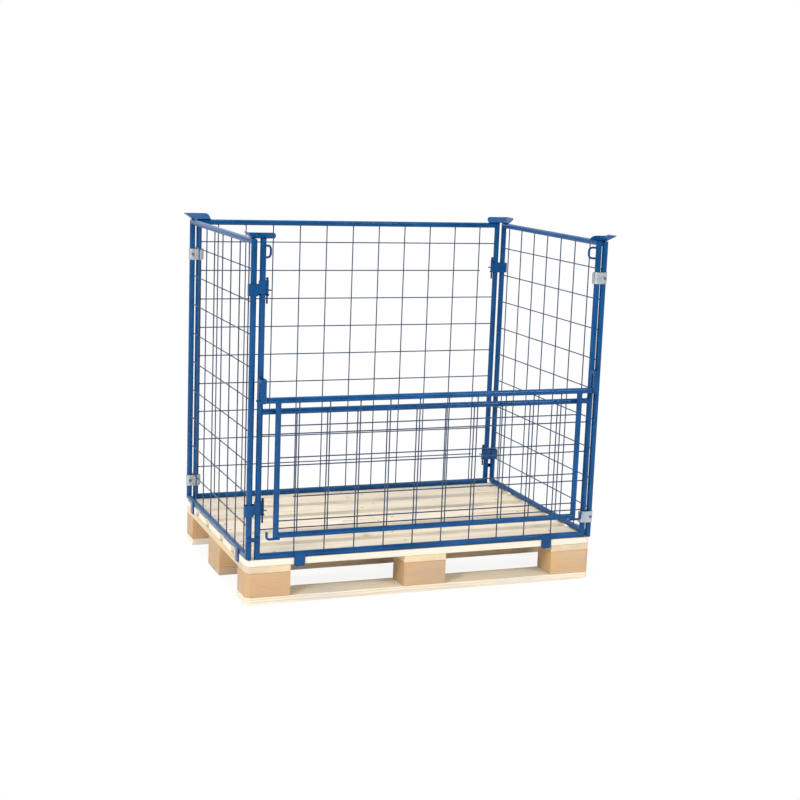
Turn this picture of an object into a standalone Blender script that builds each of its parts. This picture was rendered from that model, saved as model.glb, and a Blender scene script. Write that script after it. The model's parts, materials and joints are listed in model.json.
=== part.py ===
"""Pallet cage: a four-way wooden pallet with a folding collar of tube and wire panels and a drop gate.

Metres, +Z up. The origin is on the floor at the middle of the pallet. +X runs along the pallet's
length, and the gate is on the -Y side. Each panel is modelled in a frame of its own, in which -Y
points out of the cage and X runs along the panel, and is then turned into place. The front panel
and the back one are the same about the pallet's middle: hinge post at X = 0, latch post at -X.
"""

from math import cos, pi, radians, sin, sqrt, tan

import bmesh
import bpy
from mathutils import Matrix, Vector

# Wooden pallet
PALLET_LENGTH = 1.200
PALLET_WIDTH = 0.800
BOARD_THICKNESS = 0.022
BLOCK_HEIGHT = 0.078
WIDE_BOARD = 0.145
NARROW_BOARD = 0.100
CORNER_CHAMFER = 0.015

# Clearances
SEAT_GAP = 0.0003
RUNNING_GAP = 0.0005

# Collar frames
TUBE_RADIUS = 0.0095
BRANCH_RADIUS = 0.0091
TUBE_SIDES = 16
COLLAR_HEIGHT = 0.995
FRAME_PROUD = 0.0015
LATCH_PITCH = 0.028
HINGE_PITCH = 0.023
MIDDLE_RAIL_HEIGHT = 0.467
LUG_WIDTH = 0.035
LUG_HEIGHT = 0.045
LUG_DROP = 0.018
LUG_THICKNESS = 0.004
LUG_WELD = 0.001
LUG_CORNER = 0.006
LUG_FROM_POST = 0.1365
SIDE_LUG_FROM_POST = 0.092

# Welded wire meshes. A margin is from a post's middle to the nearest upright wire
WIRE_RADIUS = 0.0020
WIRE_SIDES = 4
WIRE_WELD = 0.0006
WIRE_OVERHANG = 0.005
BACK_WIRE_MARGIN = 0.069
FRONT_WIRE_MARGIN = 0.11875
GATE_WIRE_MARGIN = 0.06725
SIDE_HINGE_MARGIN = 0.107
SIDE_LATCH_MARGIN = 0.047
BACK_WIRES = 11
SIDE_WIRES = 7
FRONT_WIRES = 10
FULL_LEVELS = 9
LOW_LEVELS = 4

# Cross wires: the lowest above the deck, and the highest below the top of the collar or the middle rail
BACK_LOW_LEVEL = 0.118
BACK_LEVEL_BELOW_TOP = 0.077
SIDE_LOW_LEVEL = 0.102
SIDE_LEVEL_BELOW_TOP = 0.093
FRONT_LOW_LEVEL = 0.095
FRONT_LEVEL_BELOW_RAIL = 0.072

# Loops on the front posts
LOOP_RADIUS = 0.0035
LOOP_TOP_BELOW = 0.0100
LOOP_HEIGHT = 0.035
LOOP_ALONG = 0.028
LOOP_INWARD = 0.014
LOOP_BEND = 0.010

# Stop plate across a latch corner
STOP_HEIGHT = 0.0595
STOP_TALL = 0.014
STOP_THICKNESS = 0.0035
STOP_OVER_SIDE_POST = 0.009
STOP_OVER_PANEL_POST = 0.005

# Stacking corners
CORNER_SHEET = 0.003
CORNER_ARM_ALONG = 0.063
CORNER_ARM_ACROSS = 0.035
CORNER_INNER_EDGE = 0.0095
CORNER_BEND_LINE = 0.003
CORNER_REACH = 0.025
CORNER_RISE = 0.017
CORNER_ROUND = 0.014

# Hinge straps and rivets
HINGE_BELOW_TOP = 0.120
HINGE_ABOVE_DECK = 0.071
STRAP_TALL = 0.038
STRAP_THICKNESS = 0.002
TAIL_LENGTH = 0.0045
TAIL_FLARE = 0.0013
RIVET_RADIUS = 0.004
RIVET_HEAD_RADIUS = 0.0055
RIVET_HEAD_HEIGHT = 0.0025

# Latches. Levels are from the latch's middle
FRONT_LATCH_BELOW_TOP = 0.149
FRONT_LATCH_ABOVE_DECK = 0.163
BACK_LATCH_BELOW_TOP = 0.161
BACK_LATCH_ABOVE_DECK = 0.118
PIN_RADIUS = 0.003
PIN_TAIL = 0.031
PIN_BALL_RADIUS = 0.0043
PIN_HANDLE_RADIUS = 0.0022
PIN_HANDLE_LEVEL = -0.005
PIN_HANDLE_REACH = 0.014
PIN_HANDLE_TURN = radians(-45)
PIN_CLEARANCE = 0.0004
BARREL_WALL = 0.0015
BARREL_LOW = -0.0155
BARREL_HIGH = 0.025
LATCH_SHEET = 0.0025
LATCH_STRAP_LOW = -0.023
LATCH_STRAP_HIGH = 0.0125
LATCH_OUTER_REACH = 0.0155
LATCH_CORNER = 0.006
LATCH_SEAM = 0.0125
EYE_TALL = 0.006
EYE_WALL = 0.0022
EYE_CLEARANCE = 0.0006
EYE_NOSE = 0.004

# Gate
GATE_OFFSET = 0.025
GATE_AXIS_ABOVE_RAIL = 0.039
GATE_DROP = 0.425
GATE_SIDE_SPACE = 0.0515
GATE_LEVEL_BELOW_AXIS = 0.080
GATE_LEVEL_ABOVE_BOTTOM = 0.045
GATE_LIFT = 0.050
PIVOT_RADIUS = 0.004
PIVOT_CLEARANCE = 0.0004
PIVOT_PROUD = 0.010
SLEEVE_HALF_WIDTH = 0.009
SLEEVE_WALL = 0.002
SLEEVE_BELOW = 0.008
SLEEVE_ABOVE = 0.067
WASHER_RADIUS = 0.008
WASHER_THICKNESS = 0.003
WASHER_PLAY = 0.001
HOOK_RADIUS = 0.004
HOOK_BELOW_RAIL = 0.0115
HOOK_INBOARD = 0.013
HOOK_OUTBOARD = 0.029
HOOK_RISE = 0.0235
HOOK_BEND = 0.009

# Places worked out from the sizes above
DECK_TOP = 3 * BOARD_THICKNESS + BLOCK_HEIGHT
FRAME_BOTTOM = DECK_TOP + SEAT_GAP
FRAME_TOP = FRAME_BOTTOM + COLLAR_HEIGHT
LOW_RAIL = FRAME_BOTTOM + TUBE_RADIUS
TOP_RAIL = FRAME_TOP - TUBE_RADIUS
MIDDLE_RAIL = DECK_TOP + MIDDLE_RAIL_HEIGHT
WIRE_END = TUBE_RADIUS + SEAT_GAP
SIDE_X = PALLET_LENGTH / 2 + FRAME_PROUD - TUBE_RADIUS
PANEL_Y = PALLET_WIDTH / 2 + FRAME_PROUD - TUBE_RADIUS
PANEL_SPAN = 2 * SIDE_X - LATCH_PITCH - HINGE_PITCH
PANEL_MIDDLE = -PANEL_SPAN / 2
HINGE_POST_X = SIDE_X - HINGE_PITCH
LATCH_SIDE_POST = -PANEL_SPAN - LATCH_PITCH
LATCH_OFFSET = TUBE_RADIUS + SEAT_GAP + LATCH_SHEET / 2
BARREL_RADIUS = PIN_RADIUS + PIN_CLEARANCE + BARREL_WALL
PIN_PLACE = LATCH_PITCH + TUBE_RADIUS + SEAT_GAP + BARREL_RADIUS
EYE_RADIUS = PIN_RADIUS + EYE_CLEARANCE + EYE_WALL / 2
GATE_AXIS = MIDDLE_RAIL + GATE_AXIS_ABOVE_RAIL
GATE_HALF_WIDTH = PANEL_SPAN / 2 - GATE_SIDE_SPACE
GATE_RAIL_HALF = PANEL_SPAN / 2 - SLEEVE_HALF_WIDTH - WASHER_THICKNESS - 2 * WASHER_PLAY
STRAP_RADIUS = TUBE_RADIUS + RUNNING_GAP + STRAP_THICKNESS / 2

# Heights of the fittings' middles above the deck
HINGE_HEIGHTS = {"upper": COLLAR_HEIGHT - HINGE_BELOW_TOP, "lower": HINGE_ABOVE_DECK}
FRONT_LATCH_HEIGHTS = {"upper": COLLAR_HEIGHT - FRONT_LATCH_BELOW_TOP, "lower": FRONT_LATCH_ABOVE_DECK}
BACK_LATCH_HEIGHTS = {"upper": COLLAR_HEIGHT - BACK_LATCH_BELOW_TOP, "lower": BACK_LATCH_ABOVE_DECK}

# Colours, as linear red, green and blue
PINE = (0.55, 0.34, 0.16)
BLUE = (0.012, 0.085, 0.33)
WIRE_BLUE = (0.045, 0.085, 0.19)
ZINC = (0.58, 0.60, 0.61)


def clear_scene():
    for old in list(bpy.data.objects):
        bpy.data.objects.remove(old, do_unlink=True)


def new_collection(name):
    made = bpy.data.collections.new(name)
    bpy.context.scene.collection.children.link(made)
    return made


def new_material(name, colour, metallic, roughness):
    made = bpy.data.materials.new(name)
    made.use_nodes = True
    shader = made.node_tree.nodes["Principled BSDF"]
    shader.inputs["Base Color"].default_value = (*colour, 1.0)
    shader.inputs["Metallic"].default_value = metallic
    shader.inputs["Roughness"].default_value = roughness
    made.diffuse_color = (*colour, 1.0)
    return made


def new_empty(name, location, turn=0.0, parent=None):
    made = bpy.data.objects.new(name, None)
    PARTS.objects.link(made)
    made.location = location
    made.rotation_euler.z = turn
    made.parent = parent
    return made


def new_part(name, mesh, material, parent, location=(0, 0, 0), turn=0.0):
    """Places one sub-part, which may share its mesh with another."""
    made = bpy.data.objects.new(name, mesh)
    PARTS.objects.link(made)
    made.location = location
    made.rotation_euler.z = turn
    made.parent = parent
    if not mesh.materials:
        mesh.materials.append(material)
        mesh.shade_smooth()
        mesh.set_sharp_from_angle(angle=radians(35))
    return made


def finish_mesh(bm):
    bmesh.ops.recalc_face_normals(bm, faces=bm.faces[:])
    made = bpy.data.meshes.new("shape")
    bm.to_mesh(made)
    bm.free()
    return made


def helper(data):
    """A hidden object that carries a modifier or a curve while a shape is made."""
    made = bpy.data.objects.new("helper", data)
    made.hide_render = True
    made.display_type = "WIRE"
    CUTTERS.objects.link(made)
    return made


def evaluated(maker):
    """The welded mesh that a helper gives with its modifiers; the helper is then removed."""
    graph = bpy.context.evaluated_depsgraph_get()
    made = bpy.data.meshes.new_from_object(maker.evaluated_get(graph))
    made.transform(maker.matrix_world)
    bpy.data.objects.remove(maker, do_unlink=True)
    bm = bmesh.new()
    bm.from_mesh(made)
    bmesh.ops.remove_doubles(bm, verts=bm.verts[:], dist=1e-7)
    return finish_mesh(bm)


def combined(base, other, operation):
    """One mesh from two closed ones, by an exact Boolean."""
    target = helper(base)
    tool = helper(other)
    modifier = target.modifiers.new("combine", "BOOLEAN")
    modifier.operation = operation
    modifier.object = tool
    made = evaluated(target)
    bpy.data.objects.remove(tool, do_unlink=True)
    return made


def fused(base, *others):
    for other in others:
        base = combined(base, other, "UNION")
    return base


def cut(base, *others):
    for other in others:
        base = combined(base, other, "DIFFERENCE")
    return base


def box(low, high, rounded_along=None, radius=0.0):
    """A box, whose four edges along one axis may be rounded."""
    low, high = Vector(low), Vector(high)
    size = Matrix.Diagonal((*(high - low), 1.0))
    bm = bmesh.new()
    bmesh.ops.create_cube(bm, size=1.0, matrix=Matrix.Translation((low + high) / 2) @ size)
    if rounded_along:
        edges = [e for e in bm.edges if along_axis(e, rounded_along)]
        bmesh.ops.bevel(bm, geom=edges, offset=radius, segments=3, profile=0.5, affect="EDGES")
    return finish_mesh(bm)


def along_axis(edge, axis):
    run = (edge.verts[1].co - edge.verts[0].co).normalized()
    return abs(run["xyz".index(axis)]) > 0.99


def add_rod(bm, start, end, radius, sides, twist=0.0, capped=True):
    start, end = Vector(start), Vector(end)
    turn = (end - start).to_track_quat("Z", "Y").to_matrix().to_4x4()
    matrix = Matrix.Translation((start + end) / 2) @ turn @ Matrix.Rotation(twist, 4, "Z")
    return bmesh.ops.create_cone(bm, cap_ends=capped, segments=sides, radius1=radius, radius2=radius,
                                 depth=(end - start).length, matrix=matrix)["verts"]


def rod(start, end, radius, sides=TUBE_SIDES, twist=0.0):
    bm = bmesh.new()
    add_rod(bm, start, end, radius, sides, twist)
    return finish_mesh(bm)


def arc(centre, radius, first, last, steps):
    """Points on a level arc, with the angles in degrees from +X."""
    angles = [radians(first + (last - first) * i / steps) for i in range(steps + 1)]
    return [(centre[0] + radius * cos(a), centre[1] + radius * sin(a), 0.0) for a in angles]


def filleted(points, radius, steps):
    """The path with each inner corner rounded to the radius."""
    points = [Vector(p) for p in points]
    path = [points[0]]
    for before, corner, after in zip(points, points[1:], points[2:]):
        back = (before - corner).normalized()
        on = (after - corner).normalized()
        half = back.angle(on) / 2
        centre = corner + (back + on).normalized() * radius / sin(half)
        first = (corner + back * radius / tan(half) - centre).normalized()
        last = (corner + on * radius / tan(half) - centre).normalized()
        path += [centre + first.slerp(last, i / steps) * radius for i in range(steps + 1)]
    path.append(points[-1])
    return path


def bent_rod(points, radius):
    """A round rod along a path, as a bevelled curve with filled caps."""
    data = bpy.data.curves.new("path", "CURVE")
    data.dimensions = "3D"
    data.bevel_depth = radius
    data.bevel_resolution = 2
    data.use_fill_caps = True
    spline = data.splines.new("POLY")
    spline.points.add(len(points) - 1)
    for place, point in zip(spline.points, points):
        place.co = (*point, 1.0)
    return evaluated(helper(data))


def solidified(bm, thickness):
    """Sheet metal: an open surface with Solidify about its middle."""
    maker = helper(finish_mesh(bm))
    modifier = maker.modifiers.new("sheet", "SOLIDIFY")
    modifier.thickness = thickness
    modifier.offset = 0.0
    modifier.use_even_offset = True
    return evaluated(maker)


def strip(points, thickness, low, high):
    """Sheet metal that stands on edge along a level path."""
    bm = bmesh.new()
    verts = [bm.verts.new((x, y, low)) for x, y, _ in points]
    edges = [bm.edges.new(pair) for pair in zip(verts, verts[1:])]
    raised = bmesh.ops.extrude_edge_only(bm, edges=edges)["geom"]
    top = [item for item in raised if isinstance(item, bmesh.types.BMVert)]
    bmesh.ops.translate(bm, vec=(0, 0, high - low), verts=top)
    return solidified(bm, thickness)


def turned(profile, steps):
    """A solid of revolution about Z from (radius, height) points, top to bottom."""
    bm = bmesh.new()
    verts = [bm.verts.new((r, 0, z)) for r, z in profile]
    for pair in zip(verts, verts[1:]):
        bm.edges.new(pair)
    data = bpy.data.meshes.new("profile")
    bm.to_mesh(data)
    bm.free()
    maker = helper(data)
    modifier = maker.modifiers.new("turn", "SCREW")
    modifier.steps = steps
    modifier.render_steps = steps
    modifier.use_merge_vertices = True
    modifier.merge_threshold = 0.00001
    return evaluated(maker)


def mitred_tube(corners, radius, closed):
    """Straight tubes that meet in mitres, in the plane Y = 0, welded into one body."""
    corners = [Vector(c) for c in corners]
    total = len(corners)
    runs = [(corners[(i + 1) % total] - corners[i]).normalized() for i in range(total)]
    lengths = total if closed else total - 1
    bm = bmesh.new()
    for i in range(lengths):
        start, end, run = corners[i], corners[(i + 1) % total], runs[i]
        before = runs[i - 1] if closed or i > 0 else run
        after = runs[(i + 1) % total] if closed or i < lengths - 1 else run
        for vert in add_rod(bm, start, end, radius, TUBE_SIDES, capped=False):
            near_start = (vert.co - start).length < (vert.co - end).length
            corner, mitre = (start, before + run) if near_start else (end, run + after)
            vert.co += run * (corner - vert.co).dot(mitre) / run.dot(mitre)
    bmesh.ops.remove_doubles(bm, verts=bm.verts[:], dist=1e-5)
    if not closed:
        bmesh.ops.edgeloop_fill(bm, edges=[e for e in bm.edges if e.is_boundary])
    return finish_mesh(bm)


def plank(name, low, high, parent):
    """A pallet piece, with the pallet's own outer corners cut off."""
    bm = bmesh.new()
    bm.from_mesh(box(low, high))
    outer = (PALLET_LENGTH / 2, PALLET_WIDTH / 2)
    edges = [e for e in bm.edges if along_axis(e, "z")
             and all(abs(abs(e.verts[0].co[i]) - outer[i]) < SEAT_GAP for i in (0, 1))]
    if edges:
        bmesh.ops.bevel(bm, geom=edges, offset=CORNER_CHAMFER, segments=1, profile=0.5, affect="EDGES")
    new_part(name, finish_mesh(bm), MATERIALS["pine"], parent)


def rows(width, outer, middle):
    """Middles and widths of three rows: the outer ones flush with the edges."""
    edge = (width - outer) / 2
    return [(-edge, outer), (0.0, middle), (edge, outer)]


def build_pallet():
    pallet = new_empty("pallet", (0, 0, 0))
    half = PALLET_LENGTH / 2
    across = dict(zip(("front", "middle", "back"), rows(PALLET_WIDTH, NARROW_BOARD, WIDE_BOARD)))
    along = dict(zip(("left", "middle", "right"), rows(PALLET_LENGTH, WIDE_BOARD, WIDE_BOARD)))
    block_low = BOARD_THICKNESS + SEAT_GAP
    block_high = BOARD_THICKNESS + BLOCK_HEIGHT
    for row, (y, wide) in across.items():
        plank(f"skid_{row}", (-half, y - wide / 2, 0), (half, y + wide / 2, BOARD_THICKNESS), pallet)
        for column, (x, long) in along.items():
            plank(f"block_{row}_{column}", (x - long / 2, y - wide / 2, block_low),
                  (x + long / 2, y + wide / 2, block_high), pallet)
    for column, (x, long) in along.items():
        plank(f"stringer_{column}", (x - long / 2, -PALLET_WIDTH / 2, block_high + SEAT_GAP),
              (x + long / 2, PALLET_WIDTH / 2, block_high + BOARD_THICKNESS), pallet)
    widths = (WIDE_BOARD, NARROW_BOARD, WIDE_BOARD, NARROW_BOARD, WIDE_BOARD)
    space = (PALLET_WIDTH - sum(widths)) / (len(widths) - 1)
    y = -PALLET_WIDTH / 2
    for number, wide in enumerate(widths, 1):
        plank(f"deck_board_{number}", (-half, y, DECK_TOP - BOARD_THICKNESS + SEAT_GAP),
              (half, y + wide, DECK_TOP), pallet)
        y += wide + space


def spread(count, first, last):
    """Evenly spaced places from the first to the last."""
    return [first + (last - first) * i / (count - 1) for i in range(count)]


def wire_mesh(uprights, bottom, top, cross_wires):
    """Upright wires outside, cross wires inside, welded where they cross."""
    outside = WIRE_WELD / 2 - WIRE_RADIUS
    upright_bars = bmesh.new()
    for x in uprights:
        add_rod(upright_bars, (x, outside, bottom), (x, outside, top), WIRE_RADIUS, WIRE_SIDES)
    cross_bars = bmesh.new()
    for z, start, end in cross_wires:
        add_rod(cross_bars, (start, -outside, z), (end, -outside, z), WIRE_RADIUS, WIRE_SIDES)
    return combined(finish_mesh(upright_bars), finish_mesh(cross_bars), "UNION")


def cross_wires(levels, uprights, ends, blocked=((), ())):
    """Each cross wire's height and ends. Where a fitting is in the way, it stops at the next upright."""
    wires = []
    for level in levels:
        start, end = ends
        if any(low < level < high for low, high in blocked[0]):
            start = uprights[0] - WIRE_OVERHANG
        if any(low < level < high for low, high in blocked[1]):
            end = uprights[-1] + WIRE_OVERHANG
        wires.append((level, start, end))
    return wires


def zones(heights, low, high):
    """Height ranges that fittings take up, with room for a wire beside them."""
    room = WIRE_RADIUS + RUNNING_GAP
    return [(DECK_TOP + h + low - room, DECK_TOP + h + high + room) for h in heights.values()]


def hinge_zones():
    return zones(HINGE_HEIGHTS, -STRAP_TALL / 2, STRAP_TALL / 2)


def pin_zones(heights):
    """Where the lock pins are, also when each is lifted until its tail is inside the barrel."""
    top = BARREL_HIGH + SEAT_GAP + 2 * PIN_BALL_RADIUS + PIN_TAIL
    return zones(heights, BARREL_LOW - PIN_TAIL, top)


def lug(x):
    """Plate that hangs over the pallet's edge, welded to the outside of a bottom rail."""
    inner = LUG_WELD - TUBE_RADIUS
    bottom = DECK_TOP - LUG_DROP
    return box((x - LUG_WIDTH / 2, inner - LUG_THICKNESS, bottom),
               (x + LUG_WIDTH / 2, inner, bottom + LUG_HEIGHT), "y", LUG_CORNER)


def side_frame_mesh():
    corners = [(-PANEL_Y, 0, LOW_RAIL), (PANEL_Y, 0, LOW_RAIL), (PANEL_Y, 0, TOP_RAIL), (-PANEL_Y, 0, TOP_RAIL)]
    frame = mitred_tube(corners, TUBE_RADIUS, closed=True)
    lug_place = PANEL_Y - SIDE_LUG_FROM_POST
    frame = fused(frame, lug(-lug_place), lug(lug_place))
    for height in HINGE_HEIGHTS.values():
        z = DECK_TOP + height
        reach = PANEL_Y + 2 * TUBE_RADIUS
        frame = cut(frame, rod((-reach, 0, z), (2 * TUBE_RADIUS - PANEL_Y, 0, z), RIVET_RADIUS + SEAT_GAP, 12))
    return frame


def side_wires(latch_heights):
    uprights = spread(SIDE_WIRES, SIDE_HINGE_MARGIN - PANEL_Y, PANEL_Y - SIDE_LATCH_MARGIN)
    ends = (WIRE_END - PANEL_Y, PANEL_Y - WIRE_END)
    blocked = (hinge_zones(), zones(latch_heights, LATCH_STRAP_LOW, LATCH_STRAP_HIGH))
    levels = spread(FULL_LEVELS, DECK_TOP + COLLAR_HEIGHT - SIDE_LEVEL_BELOW_TOP, DECK_TOP + SIDE_LOW_LEVEL)
    return wire_mesh(uprights, LOW_RAIL + WIRE_END, TOP_RAIL - WIRE_END,
                     cross_wires(levels, uprights, ends, blocked))


def build_sides(collar):
    frame = side_frame_mesh()
    places = {"left": (-SIDE_X, -pi / 2, FRONT_LATCH_HEIGHTS), "right": (SIDE_X, pi / 2, BACK_LATCH_HEIGHTS)}
    for side, (x, turn, latch_heights) in places.items():
        new_part(f"side_frame_{side}", frame, MATERIALS["coat"], collar, (x, 0, 0), turn)
        new_part(f"side_mesh_{side}", side_wires(latch_heights), MATERIALS["wire"], collar, (x, 0, 0), turn)


def stop_plate():
    """Bar across both posts of a latch corner, welded to the panel's one, with its weld."""
    back = -TUBE_RADIUS - SEAT_GAP
    low = DECK_TOP + STOP_HEIGHT
    high = low + STOP_TALL
    plate = box((LATCH_SIDE_POST - STOP_OVER_SIDE_POST, back - STOP_THICKNESS, low),
                (STOP_OVER_PANEL_POST - PANEL_SPAN, back, high), "y", STOP_THICKNESS)
    weld_low = (-STOP_OVER_PANEL_POST - PANEL_SPAN, back - STOP_THICKNESS / 2, low + STOP_THICKNESS / 2)
    weld_high = (STOP_OVER_PANEL_POST / 2 - PANEL_SPAN, -TUBE_RADIUS / 2, high - STOP_THICKNESS / 2)
    return fused(plate, box(weld_low, weld_high))


def panel_fittings(frame):
    """Adds the lugs and the stop plate, which the front and back frames share."""
    return fused(frame, lug(LUG_FROM_POST - PANEL_SPAN), lug(-LUG_FROM_POST), stop_plate())


def panel_wires(count, margin, levels, top, latch_heights):
    uprights = spread(count, margin - PANEL_SPAN, -margin)
    ends = (WIRE_END - PANEL_SPAN, -WIRE_END)
    blocked = (pin_zones(latch_heights), hinge_zones())
    return wire_mesh(uprights, LOW_RAIL + WIRE_END, top - WIRE_END,
                     cross_wires(levels, uprights, ends, blocked))


def build_back(hinge):
    corners = [(-PANEL_SPAN, 0, LOW_RAIL), (0, 0, LOW_RAIL), (0, 0, TOP_RAIL), (-PANEL_SPAN, 0, TOP_RAIL)]
    frame = panel_fittings(mitred_tube(corners, TUBE_RADIUS, closed=True))
    new_part("back_frame", frame, MATERIALS["coat"], hinge)
    levels = spread(FULL_LEVELS, DECK_TOP + COLLAR_HEIGHT - BACK_LEVEL_BELOW_TOP, DECK_TOP + BACK_LOW_LEVEL)
    wires = panel_wires(BACK_WIRES, BACK_WIRE_MARGIN, levels, TOP_RAIL, BACK_LATCH_HEIGHTS)
    new_part("back_mesh", wires, MATERIALS["wire"], hinge)


def post_loop(post, toward):
    """Rod loop on a front post, turned a little into the cage."""
    top = FRAME_TOP - LOOP_TOP_BELOW
    low = top - LOOP_HEIGHT
    root = 0.28
    inner = (post + toward * LOOP_ALONG * root, LOOP_INWARD * root)
    outer = (post + toward * LOOP_ALONG, LOOP_INWARD)
    path = [(*inner, low), (*outer, low), (*outer, top), (*inner, top)]
    return bent_rod(filleted(path, LOOP_BEND, 4), LOOP_RADIUS)


def build_front(hinge):
    corners = [(0, 0, FRAME_TOP), (0, 0, LOW_RAIL), (-PANEL_SPAN, 0, LOW_RAIL), (-PANEL_SPAN, 0, FRAME_TOP)]
    frame = panel_fittings(mitred_tube(corners, TUBE_RADIUS, closed=False))
    rail = rod((-PANEL_SPAN, 0, MIDDLE_RAIL), (0, 0, MIDDLE_RAIL), BRANCH_RADIUS, twist=pi / TUBE_SIDES)
    frame = fused(frame, rail, post_loop(-PANEL_SPAN, 1), post_loop(0, -1))
    new_part("front_frame", frame, MATERIALS["coat"], hinge)
    levels = spread(LOW_LEVELS, MIDDLE_RAIL - FRONT_LEVEL_BELOW_RAIL, DECK_TOP + FRONT_LOW_LEVEL)
    wires = panel_wires(FRONT_WIRES, FRONT_WIRE_MARGIN, levels, MIDDLE_RAIL, FRONT_LATCH_HEIGHTS)
    new_part("front_mesh", wires, MATERIALS["wire"], hinge)


def guide_sleeve():
    """Short box tube on a front post, slotted for the gate's pivot, about the pivot's axis."""
    depth = GATE_OFFSET - TUBE_RADIUS - SEAT_GAP
    inside = depth - SLEEVE_WALL
    outer = box((-SLEEVE_HALF_WIDTH, -depth, -SLEEVE_BELOW), (SLEEVE_HALF_WIDTH, depth, SLEEVE_ABOVE))
    bore = box((SLEEVE_WALL - SLEEVE_HALF_WIDTH, -inside, -2 * SLEEVE_BELOW),
               (SLEEVE_HALF_WIDTH - SLEEVE_WALL, inside, 2 * SLEEVE_ABOVE))
    radius = PIVOT_RADIUS + PIVOT_CLEARANCE
    reach = 2 * SLEEVE_HALF_WIDTH
    slot = box((-reach, -radius, -radius), (reach, radius, GATE_LIFT + radius), "x", 0.98 * radius)
    return cut(outer, bore, slot)


def pivot_collar():
    ring = rod((-WASHER_THICKNESS / 2, 0, 0), (WASHER_THICKNESS / 2, 0, 0), WASHER_RADIUS)
    bore = rod((-WASHER_THICKNESS, 0, 0), (WASHER_THICKNESS, 0, 0), PIVOT_RADIUS + PIVOT_CLEARANCE, 12)
    return cut(ring, bore)


def gate_hook(toward):
    """J-shaped rod under the gate's bottom rail, its tip turned up outside the stile."""
    low = -GATE_DROP - HOOK_BELOW_RAIL
    inner = toward * (GATE_HALF_WIDTH - HOOK_INBOARD)
    outer = toward * (GATE_HALF_WIDTH + HOOK_OUTBOARD)
    path = [(inner, 0, low), (outer, 0, low), (outer, 0, low + HOOK_RISE)]
    return bent_rod(filleted(path, HOOK_BEND, 4), HOOK_RADIUS)


def gate_frame_mesh():
    """Gate about its pivot axis: a through rail, a U of tube below it, hooks and pivot pins."""
    rail = rod((-GATE_RAIL_HALF, 0, 0), (GATE_RAIL_HALF, 0, 0), TUBE_RADIUS)
    corners = [(-GATE_HALF_WIDTH, 0, 0), (-GATE_HALF_WIDTH, 0, -GATE_DROP),
               (GATE_HALF_WIDTH, 0, -GATE_DROP), (GATE_HALF_WIDTH, 0, 0)]
    pin_end = PANEL_SPAN / 2 + SLEEVE_HALF_WIDTH + PIVOT_PROUD
    pin = rod((-pin_end, 0, 0), (pin_end, 0, 0), PIVOT_RADIUS, 12)
    return fused(rail, mitred_tube(corners, BRANCH_RADIUS, closed=False), pin, gate_hook(-1), gate_hook(1))


def build_gate(hinge):
    pivot = new_empty("gate_pivot", (PANEL_MIDDLE, -GATE_OFFSET, GATE_AXIS), parent=hinge)
    new_part("gate_frame", gate_frame_mesh(), MATERIALS["coat"], pivot)
    outer_wire = GATE_HALF_WIDTH - GATE_WIRE_MARGIN
    uprights = spread(FRONT_WIRES, -outer_wire, outer_wire)
    ends = (WIRE_END - GATE_HALF_WIDTH, GATE_HALF_WIDTH - WIRE_END)
    levels = spread(LOW_LEVELS, -GATE_LEVEL_BELOW_AXIS, GATE_LEVEL_ABOVE_BOTTOM - GATE_DROP)
    wires = wire_mesh(uprights, WIRE_END - GATE_DROP, -WIRE_END, cross_wires(levels, uprights, ends))
    new_part("gate_mesh", wires, MATERIALS["wire"], pivot)
    sleeve = guide_sleeve()
    collar = pivot_collar()
    for side, toward in (("left", -1), ("right", 1)):
        new_part(f"guide_sleeve_{side}", sleeve, MATERIALS["coat"], pivot, (toward * PANEL_SPAN / 2, 0, 0))
        place = GATE_RAIL_HALF + WASHER_PLAY + WASHER_THICKNESS / 2
        new_part(f"pivot_collar_{side}", collar, MATERIALS["zinc"], pivot, (toward * place, 0, 0))


def stacking_corner(hand):
    """Flared sheet guide over a corner. Its two arms meet in a mitre, and their ends are rounded."""
    round_from = CORNER_REACH - CORNER_ROUND
    offsets = [-CORNER_INNER_EDGE, CORNER_BEND_LINE, round_from]
    offsets += [round_from + CORNER_ROUND * sin(radians(a)) for a in (30, 50, 70, 90)]
    slope = CORNER_RISE / (CORNER_REACH - CORNER_BEND_LINE)
    bm = bmesh.new()
    stations = []
    for d in offsets:
        into = max(d - round_from, 0.0)
        set_back = CORNER_ROUND - sqrt(max(CORNER_ROUND ** 2 - into ** 2, 0.0))
        z = CORNER_SHEET / 2 + slope * max(d - CORNER_BEND_LINE, 0.0)
        along_end = (set_back - CORNER_ARM_ALONG, d)
        across_end = (d, set_back - CORNER_ARM_ACROSS)
        stations.append([bm.verts.new((x, hand * y, z)) for x, y in (along_end, (d, d), across_end)])
    for inner, outer in zip(stations, stations[1:]):
        for i in (0, 1):
            bm.faces.new((inner[i], inner[i + 1], outer[i + 1], outer[i]))
    return solidified(bm, CORNER_SHEET)


def build_stacking_corners(collar):
    for hand, corners in ((1, (("back_right", 1, 1, 0), ("front_left", -1, -1, pi))),
                          (-1, (("front_right", 1, -1, 0), ("back_left", -1, 1, pi)))):
        mesh = stacking_corner(hand)
        for name, x, y, turn in corners:
            place = (x * SIDE_X, y * PANEL_Y, FRAME_TOP + SEAT_GAP)
            new_part(f"stacking_corner_{name}", mesh, MATERIALS["coat"], collar, place, turn)


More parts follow.
